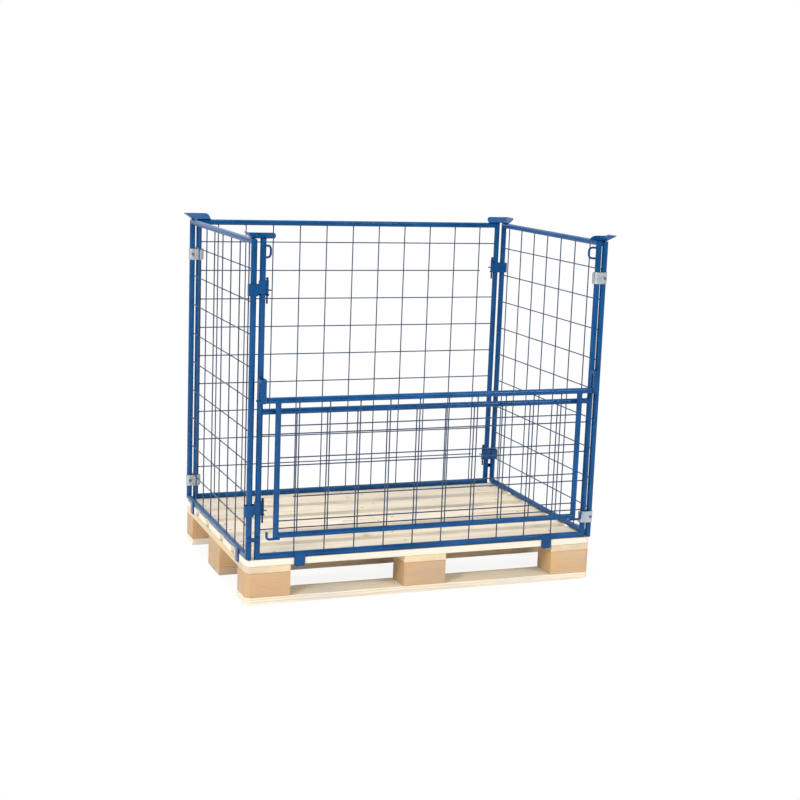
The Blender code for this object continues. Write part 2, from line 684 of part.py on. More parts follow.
def hinge_strap():
    """Strap round both posts of a hinge corner. Its two ends meet inside and flare a little."""
    lip = STRAP_THICKNESS / 2 + SEAT_GAP
    start = 270 - 84
    near = arc((0, 0), STRAP_RADIUS, start, 270, 6)
    far = arc((HINGE_PITCH, 0), STRAP_RADIUS, -90, 0, 6)
    root = (-STRAP_RADIUS - STRAP_THICKNESS / 2, -lip, 0.0)
    tip = (root[0] - TAIL_LENGTH, -lip - TAIL_FLARE, 0.0)
    half = [tip, root, *near, *far]
    other = [(x, -y, z) for x, y, z in reversed(half[:-1])]
    band = strip(half + other, STRAP_THICKNESS, -STRAP_TALL / 2, STRAP_TALL / 2)
    reach = 2 * STRAP_RADIUS
    return cut(band, rod((HINGE_PITCH, -reach, 0), (HINGE_PITCH, reach, 0), RIVET_RADIUS + SEAT_GAP, 12))


def hinge_rivet():
    """Rivet along Y with a domed head at each end."""
    seat = STRAP_RADIUS + STRAP_THICKNESS / 2 + SEAT_GAP
    dome = [(RIVET_HEAD_RADIUS * sin(radians(a)), seat + RIVET_HEAD_HEIGHT * cos(radians(a)))
            for a in (0, 35, 65, 90)]
    half = dome + [(RIVET_RADIUS, seat)]
    mesh = turned(half + [(r, -z) for r, z in reversed(half)], 12)
    mesh.transform(Matrix.Rotation(pi / 2, 4, "X"))
    return mesh


def build_hinges(collar):
    strap = hinge_strap()
    rivet = hinge_rivet()
    for name, sign, turn in (("front", 1, 0), ("back", -1, pi)):
        for level, height in HINGE_HEIGHTS.items():
            z = DECK_TOP + height
            new_part(f"hinge_strap_{name}_{level}", strap, MATERIALS["zinc"], collar,
                     (sign * HINGE_POST_X, -sign * PANEL_Y, z), turn)
            new_part(f"hinge_rivet_{name}_{level}", rivet, MATERIALS["zinc"], collar,
                     (sign * SIDE_X, -sign * PANEL_Y, z), turn)


def latch_strap():
    """Strap round the side post, about that post. Its inner arm ends in the lock pin's eye."""
    arm_end = PIN_PLACE + EYE_RADIUS
    path = [(LATCH_SEAM, -LATCH_OFFSET, 0), (-LATCH_OUTER_REACH, -LATCH_OFFSET, 0),
            (-LATCH_OUTER_REACH, LATCH_OFFSET, 0), (arm_end, LATCH_OFFSET, 0)]
    band = strip(filleted(path, LATCH_CORNER, 3), LATCH_SHEET, LATCH_STRAP_LOW, LATCH_STRAP_HIGH)
    nose = (PIN_PLACE + EYE_RADIUS, -EYE_NOSE, 0.0)
    eye_high = LATCH_STRAP_LOW + EYE_TALL
    eye = strip([nose, *arc((PIN_PLACE, 0), EYE_RADIUS, 0, 140, 7)], EYE_WALL, LATCH_STRAP_LOW, eye_high)
    inset = EYE_WALL / 4
    web = box((PIN_PLACE - EYE_RADIUS / 2, EYE_RADIUS, LATCH_STRAP_LOW + inset),
              (PIN_PLACE + EYE_RADIUS / 2, LATCH_OFFSET, eye_high - inset))
    return fused(band, eye, web)


def latch_barrel():
    """Slotted barrel for the lock pin, on a plate bent round the panel's post, about the side post."""
    start = (LATCH_SEAM + RUNNING_GAP, -LATCH_OFFSET, 0.0)
    wrap = arc((LATCH_PITCH, 0), LATCH_OFFSET, -90, -8, 6)
    plate = strip([start, *wrap], LATCH_SHEET, BARREL_LOW, BARREL_HIGH)
    barrel = rod((PIN_PLACE, 0, BARREL_LOW), (PIN_PLACE, 0, BARREL_HIGH), BARREL_RADIUS, 12)
    bore_radius = BARREL_RADIUS - BARREL_WALL
    beyond = BARREL_HIGH - BARREL_LOW
    bore = rod((PIN_PLACE, 0, BARREL_LOW - beyond), (PIN_PLACE, 0, BARREL_HIGH + beyond), bore_radius, 12)
    half_slot = PIN_HANDLE_RADIUS + SEAT_GAP
    slot = box((0, -half_slot, PIN_HANDLE_LEVEL - half_slot), (3 * BARREL_RADIUS, half_slot, 2 * BARREL_HIGH))
    slot.transform(Matrix.Translation((PIN_PLACE, 0, 0)) @ Matrix.Rotation(PIN_HANDLE_TURN, 4, "Z"))
    return cut(fused(plate, barrel), bore, slot)


def lock_pin():
    """Lock pin about its own axis: a straight rod with a ball on top and a handle rod."""
    low = BARREL_LOW - PIN_TAIL
    ball_middle = BARREL_HIGH + SEAT_GAP + PIN_BALL_RADIUS
    neck = ball_middle - sqrt(PIN_BALL_RADIUS ** 2 - PIN_RADIUS ** 2)
    ball = [(PIN_BALL_RADIUS * sin(radians(a)), ball_middle + PIN_BALL_RADIUS * cos(radians(a)))
            for a in (0, 35, 65, 90, 115)]
    profile = ball + [(PIN_RADIUS, neck), (PIN_RADIUS, low), (0.0, low)]
    handle = rod((0, 0, PIN_HANDLE_LEVEL), (PIN_HANDLE_REACH, 0, PIN_HANDLE_LEVEL), PIN_HANDLE_RADIUS, 8)
    handle.transform(Matrix.Rotation(PIN_HANDLE_TURN, 4, "Z"))
    return fused(turned(profile, 12), handle)


def build_latches(collar, front_hinge, back_hinge):
    strap = latch_strap()
    barrel = latch_barrel()
    pin = lock_pin()
    corners = (("front", -1, 0, front_hinge, FRONT_LATCH_HEIGHTS),
               ("back", 1, pi, back_hinge, BACK_LATCH_HEIGHTS))
    for name, sign, turn, hinge, heights in corners:
        for level, height in heights.items():
            z = DECK_TOP + height
            new_part(f"latch_strap_{name}_{level}", strap, MATERIALS["coat"], collar,
                     (sign * SIDE_X, sign * PANEL_Y, z), turn)
            new_part(f"latch_barrel_{name}_{level}", barrel, MATERIALS["coat"], hinge, (LATCH_SIDE_POST, 0, z))
            new_part(f"lock_pin_{name}_{level}", pin, MATERIALS["coat"], hinge,
                     (LATCH_SIDE_POST + PIN_PLACE, 0, z))


clear_scene()
PARTS = new_collection("pallet_cage")
CUTTERS = new_collection("cutters")
MATERIALS = {
    "pine": new_material("pine", PINE, 0.0, 0.75),
    "coat": new_material("blue_powder_coat", BLUE, 0.0, 0.35),
    "wire": new_material("coated_wire", WIRE_BLUE, 0.0, 0.45),
    "zinc": new_material("galvanised_steel", ZINC, 0.9, 0.45),
}
build_pallet()
COLLAR = new_empty("collar", (0, 0, 0))
FRONT_HINGE = new_empty("front_hinge", (HINGE_POST_X, -PANEL_Y, 0), parent=COLLAR)
BACK_HINGE = new_empty("back_hinge", (-HINGE_POST_X, PANEL_Y, 0), turn=pi, parent=COLLAR)
build_sides(COLLAR)
build_back(BACK_HINGE)
build_front(FRONT_HINGE)
build_gate(FRONT_HINGE)
build_stacking_corners(COLLAR)
build_hinges(COLLAR)
build_latches(COLLAR, FRONT_HINGE, BACK_HINGE)
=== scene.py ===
import json
import random
from math import cos, pi, radians, sin, sqrt, tan

import bmesh
import bpy
from mathutils import Matrix, Vector


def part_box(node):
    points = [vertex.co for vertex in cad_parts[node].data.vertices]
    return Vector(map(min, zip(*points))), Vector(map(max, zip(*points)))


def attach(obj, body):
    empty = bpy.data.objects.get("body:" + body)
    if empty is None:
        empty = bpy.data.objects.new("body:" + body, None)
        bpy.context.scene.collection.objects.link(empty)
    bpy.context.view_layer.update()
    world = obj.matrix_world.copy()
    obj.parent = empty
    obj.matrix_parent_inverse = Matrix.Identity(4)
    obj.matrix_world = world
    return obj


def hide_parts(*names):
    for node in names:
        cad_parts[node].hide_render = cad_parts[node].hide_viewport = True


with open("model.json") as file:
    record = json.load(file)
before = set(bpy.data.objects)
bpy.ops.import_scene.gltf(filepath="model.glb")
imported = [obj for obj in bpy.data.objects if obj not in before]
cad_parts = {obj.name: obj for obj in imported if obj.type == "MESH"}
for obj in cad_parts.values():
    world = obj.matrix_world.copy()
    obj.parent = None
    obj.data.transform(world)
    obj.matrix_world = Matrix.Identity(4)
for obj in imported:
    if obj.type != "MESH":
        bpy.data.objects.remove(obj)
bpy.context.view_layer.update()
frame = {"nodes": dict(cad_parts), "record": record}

NODES = frame["nodes"]
BODY_OF = {node: body
           for body, members in frame["record"]["behaviour"]["bodies"].items()
           for node in members}

# The camera that the photograph was taken with
IMAGE_PIXELS = 800
FOCAL_PIXELS = 1530.244
SENSOR_WIDTH = 36.0
CAMERA_AZIMUTH = radians(-21.435)
CAMERA_ELEVATION = radians(10.409)
CAMERA_ROLL = radians(2.177)
CAMERA_DISTANCE = 5.2579
CAMERA_TARGET = Vector((0.0476, 0.0, 0.5566))
CAMERA_REACH = 100

# Sizes in metres that the dressed pieces share with the model. LUG_DROP and LOOP_TOP_BELOW are
# the photograph's: lugs and loops sit about 10 mm lower here than in the model's solids.
SEAT_GAP = 0.0003
TUBE_RADIUS = 0.0095
BRANCH_RADIUS = 0.0091
WIRE_RADIUS = 0.0020
MIDDLE_RAIL_HEIGHT = 0.467
LUG_SIZE = Vector((0.035, 0.004, 0.045))
LUG_CORNER = 0.006
LUG_DROP = 0.0285
LUG_WELD = 0.001
LUG_FROM_POST = 0.1365
SIDE_LUG_FROM_POST = 0.092
STOP_HEIGHT = 0.0595
STOP_TALL = 0.014
STOP_THICKNESS = 0.0035
STOP_OVER_SIDE_POST = 0.009
STOP_OVER_PANEL_POST = 0.005
LOOP_RADIUS = 0.0035
LOOP_TOP_BELOW = 0.0220
LOOP_HEIGHT = 0.035
LOOP_ALONG = 0.028
LOOP_INWARD = 0.014
LOOP_ROOT = 0.28
LOOP_BEND = 0.012
GATE_DROP = 0.425
GATE_SIDE_SPACE = 0.0515
GATE_RAIL_SPACE = 0.014
PIVOT_RADIUS = 0.004
PIVOT_REACH = 0.019
HOOK_RADIUS = 0.004
HOOK_BELOW_RAIL = 0.0115
HOOK_INBOARD = 0.013
HOOK_OUTBOARD = 0.029
HOOK_RISE = 0.0235
HOOK_BEND = 0.009

# Fineness of the dressed pieces
TUBE_SIDES = 32
ROD_SIDES = 16
WIRE_SIDES = 12
BEND_STEPS = 8
BLOB_SEGMENTS = 10
BLOB_RINGS = 6
CORNER_SEGMENTS = 5
EDGE_SEGMENTS = 2
SAME_POINT = 2e-6
# Decimals of a metre to which the points of one wire agree
SAME_WIRE_DECIMALS = 3

# Angles between faces, in degrees
FLAT_BELOW = 0.5
BROKEN_ABOVE = 30
RIM_ABOVE = 45
SMOOTH_BELOW = 38
WIRES_SMOOTH_BELOW = 50

# Weld beads and weld spots
BEAD = 0.0013
FINE_BEAD = 0.0009
BEAD_SIDES = 8
BEAD_STEP = 0.0022
TEE_POINTS = 36
MITRE_POINTS = 16
BEAD_RIPPLE = 0.16
BEAD_UNEVEN = 0.10
BEAD_THIN_END = 0.25
BEAD_THICKENING = 1.5
HOOK_SEAM_ASIDE = 0.6
WIRE_BITE = 0.0010
END_SPOT = 1.35 * WIRE_RADIUS
CROSSING_SPOT = 1.15 * WIRE_RADIUS
SPOT_FLATNESS = 0.8

# Broken edges
PLATE_EDGE = 0.0006
TUBE_END_EDGE = 0.0008
WOOD_EDGE = 0.0014
STRAP_EDGE = 0.0004
COATED_EDGE = 0.0005

# Nail heads in the deck. A board's nails lie in its middle share, to both sides of the stringer's
# middle in turn.
DECK_BOARDS = 5
NAIL_RADIUS = 0.0042
NAIL_RIM = 0.86
NAIL_SIDES = 20
NAIL_PROUD = 0.00015
NAILS_WIDE_BOARD = 3
NAILS_NARROW_BOARD = 2
WIDE_BOARD = 0.12
NAIL_MARGIN = 0.10
NAIL_SPREAD = 0.80
NAIL_EVEN_ASIDE = -0.030
NAIL_ODD_ASIDE = 0.035
NAIL_STRAY_ALONG = 0.006
NAIL_STRAY_ACROSS = 0.004

# How far boards differ from one another
PITH_ASIDE = 0.04
PITH_AWAY = (0.03, 0.07)
WOOD_SHADE = (0.92, 1.04)
WOOD_WARMTH = (0.95, 1.03)
WOOD_SEED = (0, 90)

# Each wood's light and dark colours, and how much its upright faces are mixed toward a paler
# colour. A node takes the wood that its name starts with, or else the deck's.
DECK_WOOD = ((0.80, 0.745, 0.65), (0.57, 0.45, 0.31), 0.50)
WOODS_AND_PAINTED_LIGHT = {"block": ((0.66, 0.44, 0.25), (0.53, 0.32, 0.16), 0.0),
         "stringer": ((0.86, 0.71, 0.49), (0.62, 0.44, 0.26), 0.0),
         # Painted shade: the middle skid's colours are darkened for the shade it lies in under the
         # deck.
         "skid_middle": ((0.52, 0.37, 0.23), (0.36, 0.23, 0.13), 0.15),
         # Painted light: the front skid's colours are made paler to stand in for the light that
         # reaches it.
         "skid_front": ((0.93, 0.86, 0.74), (0.71, 0.58, 0.42), 0.0)}
RINGS_PER_METRE = 230.0
SAW_MARKS = 1500.0
# Paler colour that upright wood faces are mixed toward
UPRIGHT_PALE = (0.96, 0.90, 0.78)
KNOT = (0.26, 0.12, 0.05)
BARE_STEEL = (0.20, 0.19, 0.18)
RUST = (0.19, 0.10, 0.055)

# Studio. The floor's shadow fades into plain white over a share of the fade's length, and what
# the paint mirrors goes from dark in front of the cage to white behind it.
WHITE = (1.0, 1.0, 1.0)
AMBIENT = 0.68
FLOOR_SIZE = 45
FLOOR_BELOW = 0.0005
FLOOR_COLOUR = (0.97, 0.97, 0.97)
FLOOR_FADE_LENGTH = 5.0
FLOOR_FADE = ((0.16, 0.88), (0.40, 1.0))
MIRRORED_FADE = ((0.10, 0.04), (0.46, 1.0))
LAMP_AIM = Vector((0, 0, 0.5))
# Name, place, size, power
LAMPS = (("key", (-3.9, -2.9, 3.3), 1.6, 132),
         ("fill", (2.3, -3.7, 3.2), 0.9, 58),
         ("top", (-0.6, 0.4, 4.4), 1.8, 95))


def middle(cad_node):
    low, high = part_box(cad_node)
    return (Vector(low) + Vector(high)) / 2


# Places taken from the frame
SIDE_X = middle("hinge_rivet_front_upper").x
PANEL_Y = -middle("hinge_rivet_front_upper").y
HINGE_POST = middle("guide_sleeve_right").x
PANEL_SPAN = HINGE_POST - middle("guide_sleeve_left").x
LATCH_SIDE_POST = -HINGE_POST - SIDE_X
GATE_AXIS = middle("pivot_collar_left").z
GATE_OFFSET = -PANEL_Y - middle("pivot_collar_left").y
DECK_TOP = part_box("deck_board_3")[1][2]
FRAME_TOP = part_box("back_frame")[1][2]
TOP_RAIL = FRAME_TOP - TUBE_RADIUS
LOW_RAIL = DECK_TOP + SEAT_GAP + TUBE_RADIUS
MID_HEIGHT = (LOW_RAIL + TOP_RAIL) / 2
MIDDLE_RAIL = DECK_TOP + MIDDLE_RAIL_HEIGHT
GATE_HALF = PANEL_SPAN / 2 - GATE_SIDE_SPACE

# Each panel's own frame: X runs along it and -Y points out of the cage
FRONT = Matrix.Translation((HINGE_POST, -PANEL_Y, 0))
BACK = Matrix.Rotation(pi, 4, "Z") @ FRONT
RIGHT = Matrix.Translation((SIDE_X, 0, 0)) @ Matrix.Rotation(pi / 2, 4, "Z")
LEFT = Matrix.Rotation(pi, 4, "Z") @ RIGHT
GATE = FRONT @ Matrix.Translation((-PANEL_SPAN / 2, -GATE_OFFSET, GATE_AXIS))


def link(piece):
    bpy.context.scene.collection.objects.link(piece)
    return piece


def add_camera():
    """Camera at the photograph's viewing angle."""
    az, el, roll = CAMERA_AZIMUTH, CAMERA_ELEVATION, CAMERA_ROLL
    back = Vector((sin(az) * cos(el), -cos(az) * cos(el), sin(el)))
    level = (-back).cross(Vector((0, 0, 1))).normalized()
    upright = level.cross(-back)
    right = cos(roll) * level + sin(roll) * upright
    up = cos(roll) * upright - sin(roll) * level
    data = bpy.data.cameras.new("camera")
    data.sensor_width = SENSOR_WIDTH
    data.lens = SENSOR_WIDTH * FOCAL_PIXELS / IMAGE_PIXELS
    data.clip_end = CAMERA_REACH
    camera = link(bpy.data.objects.new("camera", data))
    turn = Matrix((right, up, back)).transposed().to_4x4()
    camera.matrix_world = Matrix.Translation(CAMERA_TARGET + back * CAMERA_DISTANCE) @ turn
    bpy.context.scene.camera = camera


# ---- Materials ----

def rgba(colour):
    """A colour for a socket or a ramp. A plain number stands for a grey."""
    if isinstance(colour, bpy.types.NodeSocket):
        return colour
    return (*colour, 1.0) if isinstance(colour, tuple) else (colour, colour, colour, 1.0)


def tinted(colour, share, lift=0.0):
    return tuple(c * share + lift for c in colour)


def drawn_out(along, share):
    """The scale that draws a pattern out along one axis."""
    return [share if axis == along else 1.0 for axis in range(3)]


class Shading:
    """Short calls for the shader nodes of one material's or one world's tree."""

    def __init__(self, tree):
        self.tree = tree

    def feed(self, made, inputs):
        """Sets a node's inputs, and links those that are sockets."""
        for name, value in inputs.items():
            if isinstance(value, bpy.types.NodeSocket):
                self.tree.links.new(value, made.inputs[name])
            else:
                made.inputs[name].default_value = value

    def add(self, kind, inputs=None, **settings):
        """Adds a node."""
        made = self.tree.nodes.new(kind)
        for name, value in settings.items():
            setattr(made, name, value)
        self.feed(made, inputs or {})
        return made

    def position(self):
        """Where a point is in its own object, which is also its place in the cage at rest."""
        return self.add("ShaderNodeTexCoord").outputs["Object"]

    def stretched(self, scale, offset=(0, 0, 0)):
        """The position on scaled axes. A small scale draws a pattern out."""
        inputs = {"Vector": self.position(), "Location": offset, "Scale": scale}
        return self.add("ShaderNodeMapping", inputs).outputs["Vector"]

    def axes(self, vector):
        return self.add("ShaderNodeSeparateXYZ", {"Vector": vector}).outputs

    def noise(self, where, scale, detail=3.0, roughness=0.5):
        inputs = {"Vector": where, "Scale": scale, "Detail": detail, "Roughness": roughness}
        return self.add("ShaderNodeTexNoise", inputs).outputs["Fac"]

    def cells(self, where, scale, output):
        inputs = {"Vector": where, "Scale": scale}
        return self.add("ShaderNodeTexVoronoi", inputs).outputs[output]

    def maths(self, operation, first, second=0.0, third=0.0):
        inputs = {0: first, 1: second, 2: third}
        return self.add("ShaderNodeMath", inputs, operation=operation).outputs[0]

    def plus(self, value, share, base):
        """The base with a share of the value added."""
        return self.maths("MULTIPLY_ADD", value, share, base)

    def ramp(self, value, stops):
        """A colour ramp through (place, colour) stops."""
        made = self.add("ShaderNodeValToRGB", {"Fac": value})
        elements = made.color_ramp.elements
        while len(elements) < len(stops):
            elements.new(0.5)
        for element, (place, colour) in zip(elements, stops):
            element.position = place
            element.color = rgba(colour)
        return made.outputs["Color"]

    def mix(self, factor, first, second):
        """One colour that gives way to another as the factor grows."""
        inputs = {0: factor, 6: rgba(first), 7: rgba(second)}
        return self.add("ShaderNodeMix", inputs, data_type="RGBA").outputs[2]

    def choose(self, factor, first, second):
        """One shader that gives way to another as the factor grows."""
        inputs = {0: factor, 1: first, 2: second}
        return self.add("ShaderNodeMixShader", inputs).outputs[0]

    def bump(self, height, distance, strength):
        inputs = {"Height": height, "Distance": distance, "Strength": strength}
        return self.add("ShaderNodeBump", inputs).outputs["Normal"]


def new_material(name):
    made = bpy.data.materials.new(name)
    made.use_nodes = True
    return made, Shading(made.node_tree), made.node_tree.nodes["Principled BSDF"]


def powder_coat(name, deep, main, roughness):
    """Semi-gloss powder coat: an orange-peel skin, an uneven film, dust and a few rubbed spots."""
    made, shading, shader = new_material(name)
    where = shading.position()
    film = shading.noise(where, scale=14.0, detail=4.0)
    specks = shading.noise(where, scale=55.0, detail=6.0, roughness=0.7)
    patches = shading.noise(where, scale=6.0, detail=2.0)
    dust = shading.ramp(shading.maths("MULTIPLY", specks, patches), [(0.28, 0.0), (0.46, 0.18)])
    spots = shading.noise(where, scale=210.0, detail=2.0)
    rubbed = shading.ramp(spots, [(0.74, 0.0), (0.79, 0.6)])
    colour = shading.ramp(film, [(0.30, deep), (0.70, main)])
    colour = shading.mix(dust, colour, tinted(main, 1.6, 0.02))
    colour = shading.mix(rubbed, colour, tinted(deep, 0.45))
    gloss = shading.plus(film, 0.16, roughness - 0.08)
    peel = shading.noise(where, scale=900.0, detail=2.0)
    shading.feed(shader, {"Base Color": colour,
                          "Roughness": shading.plus(rubbed, 0.2, gloss),
                          "Normal": shading.bump(peel, distance=0.00006, strength=0.5),
                          "Specular IOR Level": 0.20})
    return made


def galvanised(name, tint):
    """Dull zinc with a spangle of crystals, white bloom in patches and fine rolling lines."""
    made, shading, shader = new_material(name)
    where = shading.position()
    crystals = shading.cells(where, scale=330.0, output="Color")
    tone = shading.add("ShaderNodeRGBToBW", {"Color": crystals}).outputs[0]
    colour = shading.ramp(tone, [(0.15, tinted(tint, 0.74)), (0.85, tint)])
    patches = shading.noise(where, scale=90.0, detail=5.0, roughness=0.65)
    bloom = shading.ramp(patches, [(0.45, 0.0), (0.62, 0.5)])
    lines = shading.noise(shading.stretched((0.15, 0.15, 1.0)), scale=1400.0, detail=2.0)
    relief = shading.plus(lines, 0.4, shading.noise(where, scale=500.0, detail=3.0))
    shading.feed(shader, {"Base Color": shading.mix(bloom, colour, tinted(tint, 1.12)),
                          "Roughness": shading.ramp(tone, [(0.0, 0.36), (1.0, 0.58)]),
                          "Normal": shading.bump(relief, distance=0.00012, strength=0.5),
                          "Metallic": 0.7})
    return made


def nail_steel():
    """Bare nail heads, a little rusty."""
    made, shading, shader = new_material("nail_steel")
    rust = shading.noise(shading.position(), scale=420.0, detail=4.0, roughness=0.7)
    shading.feed(shader, {"Base Color": shading.ramp(rust, [(0.35, BARE_STEEL), (0.68, RUST)]),
                          "Roughness": shading.ramp(rust, [(0.3, 0.45), (0.7, 0.85)]),
                          "Normal": shading.bump(rust, distance=0.0002, strength=0.5),
                          "Metallic": 0.5})
    return made


def pine(name, along, pith, seed, light, dark, upright_pale_share):
    """Sawn pine. Growth rings lie round the pith, a line that runs along the grain, so that faces
    show long figures and ends show arcs. Upright faces are mixed toward a paler colour."""
    made, shading, shader = new_material(name)
    offset = (seed * 1.37, seed * 2.11, seed * 0.73)
    slow = shading.stretched(drawn_out(along, 0.10), offset)
    place = shading.axes(shading.position())

    # How far the nearest knot is
    knots = shading.cells(shading.stretched(drawn_out(along, 0.62), offset), 6.5, "Distance")

    # Rings: the distance from the pith, swayed by noise and bent round the knots
    squares = [shading.maths("POWER", shading.maths("SUBTRACT", place[axis], pith[axis]), 2.0)
               for axis in range(3) if axis != along]
    radius = shading.maths("SQRT", shading.maths("ADD", *squares))
    rings = shading.maths("MULTIPLY", radius, RINGS_PER_METRE)
    sway = shading.noise(slow, scale=7.0, detail=3.0, roughness=0.45)
    rings = shading.plus(sway, 7.0, rings)
    rings = shading.plus(shading.ramp(knots, [(0.03, 1.0), (0.22, 0.0)]), 1.6, rings)
    ring = shading.ramp(shading.maths("FRACT", rings),
                        [(0.0, 0.0), (0.50, 0.20), (0.84, 1.0), (0.93, 0.8), (1.0, 0.0)])

    # Figure: rings that fade in and out, with streaks and fibres
    fine = shading.stretched(drawn_out(along, 0.03), offset)
    fibre = shading.noise(fine, scale=420.0, detail=4.0, roughness=0.6)
    streak = shading.noise(slow, scale=38.0, detail=3.0, roughness=0.6)
    fading = shading.ramp(shading.noise(slow, scale=15.0, detail=2.0), [(0.30, 0.25), (0.70, 0.85)])
    figure = shading.maths("MULTIPLY", ring, fading)
    figure = shading.plus(streak, 0.45, figure)
    figure = shading.plus(fibre, 0.42, figure)
    wood = shading.mix(shading.ramp(figure, [(0.30, 0.0), (1.0, 1.0)]), light, dark)

    # Weathered patches, paler upright faces, and the knots' dark hearts
    drifts = shading.stretched(drawn_out(along, 0.35), offset)
    patches = shading.noise(drifts, scale=11.0, detail=4.0, roughness=0.6)
    grey = sum(dark) / 3
    weathered = (grey * 1.16, grey * 1.1, grey)
    wood = shading.mix(shading.ramp(patches, [(0.46, 0.0), (0.72, 0.5)]), wood, weathered)
    # Upright faces are mixed toward a paler colour, by the wood's share
    normal = shading.axes(shading.add("ShaderNodeNewGeometry").outputs["Normal"])
    upright = shading.maths("LESS_THAN", shading.maths("ABSOLUTE", normal[2]), 0.5)
    wood = shading.mix(shading.maths("MULTIPLY", upright, upright_pale_share), wood, UPRIGHT_PALE)
    heart = shading.ramp(knots, [(0.0, 1.0), (0.030, 0.9), (0.042, 0.55), (0.075, 0.14),
                                 (0.13, 0.0)])
    wood = shading.mix(heart, wood, KNOT)

    # Relief: rings, fibres, and saw marks across the grain in patches
    teeth = shading.maths("MULTIPLY", place[along], SAW_MARKS)
    teeth = shading.plus(shading.noise(slow, scale=22.0, detail=2.0), 9.0, teeth)
    depth = shading.ramp(patches, [(0.40, 0.0), (0.60, 0.35)])
    saw = shading.maths("MULTIPLY", shading.maths("SINE", teeth), depth)
    relief = shading.maths("ADD", shading.plus(ring, 0.35, fibre), saw)

    shading.feed(shader, {"Base Color": wood,
                          "Roughness": shading.ramp(fibre, [(0.2, 0.62), (0.8, 0.84)]),
                          "Normal": shading.bump(relief, distance=0.0006, strength=0.55),
                          "Specular IOR Level": 0.25})
    return made


# ---- Shapes ----

def tube(bm, points, radius, sides=TUBE_SIDES, closed=False):
    """A round tube along a path, whose runs meet in mitres. The radius may differ from point to
    point. Gives the rings of points round the path's corners."""
    points = [Vector(p) for p in points]
    radii = radius if isinstance(radius, list) else [radius] * len(points)
    ahead = points[1:] + (points[:1] if closed else [])
    runs = [(b - a).normalized() for a, b in zip(points, ahead)]
    before = runs[-1] if closed else runs[0]
    side = before.orthogonal().normalized()
    rings = []
    for i, (point, r) in enumerate(zip(points, radii)):
        after = runs[i] if i < len(runs) else before
        mitre = before + after
        across = before.cross(side)
        ring = []
        for k in range(sides):
            angle = 2 * pi * k / sides
            arm = r * (cos(angle) * side + sin(angle) * across)
            lean = before * arm.dot(mitre) / before.dot(mitre)
            ring.append(bm.verts.new(point + arm - lean))
        rings.append(ring)
        side = before.rotation_difference(after) @ side
        before = after
    for inner, outer in zip(rings, rings[1:] + (rings[:1] if closed else [])):
        for k in range(sides):
            bm.faces.new((inner[k - 1], inner[k], outer[k], outer[k - 1]))
    if not closed:
        bm.faces.new(rings[0][::-1])
        bm.faces.new(rings[-1])
    return [[vert.co.copy() for vert in ring] for ring in rings]


def blunt_rod(bm, half, radius, sides=TUBE_SIDES):
    """A rod along X, to both sides of the origin, with the edges of its ends broken."""
    steps = [(-half, radius - TUBE_END_EDGE), (TUBE_END_EDGE - half, radius)]
    steps += [(-x, r) for x, r in reversed(steps)]
    tube(bm, [(x, 0, 0) for x, r in steps], [r for x, r in steps], sides)


def blob(bm, place, radii):
    """A rounded lump of weld metal."""
    levels = []
    for j in range(1, BLOB_RINGS):
        down = pi * j / BLOB_RINGS
        level = []
        for k in range(BLOB_SEGMENTS):
            turn = 2 * pi * k / BLOB_SEGMENTS
            point = Vector((sin(down) * cos(turn), sin(down) * sin(turn), cos(down)))
            level.append(bm.verts.new(place + point * radii))
        levels.append(level)
    for upper, lower in zip(levels, levels[1:]):
        for k in range(BLOB_SEGMENTS):
            bm.faces.new((upper[k - 1], lower[k - 1], lower[k], upper[k]))
    top = bm.verts.new(place + Vector((0, 0, radii.z)))
    for k in range(BLOB_SEGMENTS):
        bm.faces.new((levels[0][k - 1], levels[0][k], top))
    bottom = bm.verts.new(place - Vector((0, 0, radii.z)))
    for k in range(BLOB_SEGMENTS):
        bm.faces.new((levels[-1][k], levels[-1][k - 1], bottom))


def filleted(points, radius):
    """The path with each inner corner rounded to the radius."""
    points = [Vector(p) for p in points]
    path = [points[0]]
    for before, corner, after in zip(points, points[1:], points[2:]):
        back = (before - corner).normalized()
        on = (after - corner).normalized()
        half = back.angle(on) / 2
        centre = corner + (back + on).normalized() * radius / sin(half)
        first = (corner + back * radius / tan(half) - centre).normalized()
        last = (corner + on * radius / tan(half) - centre).normalized()
        path += [centre + first.slerp(last, i / BEND_STEPS) * radius
                 for i in range(BEND_STEPS + 1)]
    path.append(points[-1])
    return path


def straight(start, end):
    """Points along a straight bead."""
    start, end = Vector(start), Vector(end)
    count = max(2, round((end - start).length / BEAD_STEP))
    return [start.lerp(end, i / count) for i in range(count + 1)]


def tee(place, main, branch, main_radius, branch_radius):
    """The line where a branch tube's outside meets a main tube's."""
    place, main, branch = Vector(place), Vector(main), Vector(branch)
    third = main.cross(branch)
    line = []
    for k in range(TEE_POINTS):
        turn = 2 * pi * k / TEE_POINTS
        along, beside = branch_radius * cos(turn), branch_radius * sin(turn)
        out = sqrt(main_radius ** 2 - beside ** 2)
        line.append(place + along * main + beside * third + out * branch)
    return line


def bead(bm, points, size, rng, closed=True, heart=None):
    """A weld bead along a path, with the ripples that its run leaves. It thins away from the
    heart."""
    radii = []
    for i, point in enumerate(points):
        swell = size * (1.0 + BEAD_RIPPLE * (i % 2) + rng.uniform(-BEAD_UNEVEN, BEAD_UNEVEN))
        if heart:
            reach = max((p - heart).length for p in points)
            nearness = 1.0 - (point - heart).length / reach
            swell *= min(1.0, BEAD_THIN_END + BEAD_THICKENING * nearness)
        radii.append(swell)
    tube(bm, points, radii, BEAD_SIDES, closed)


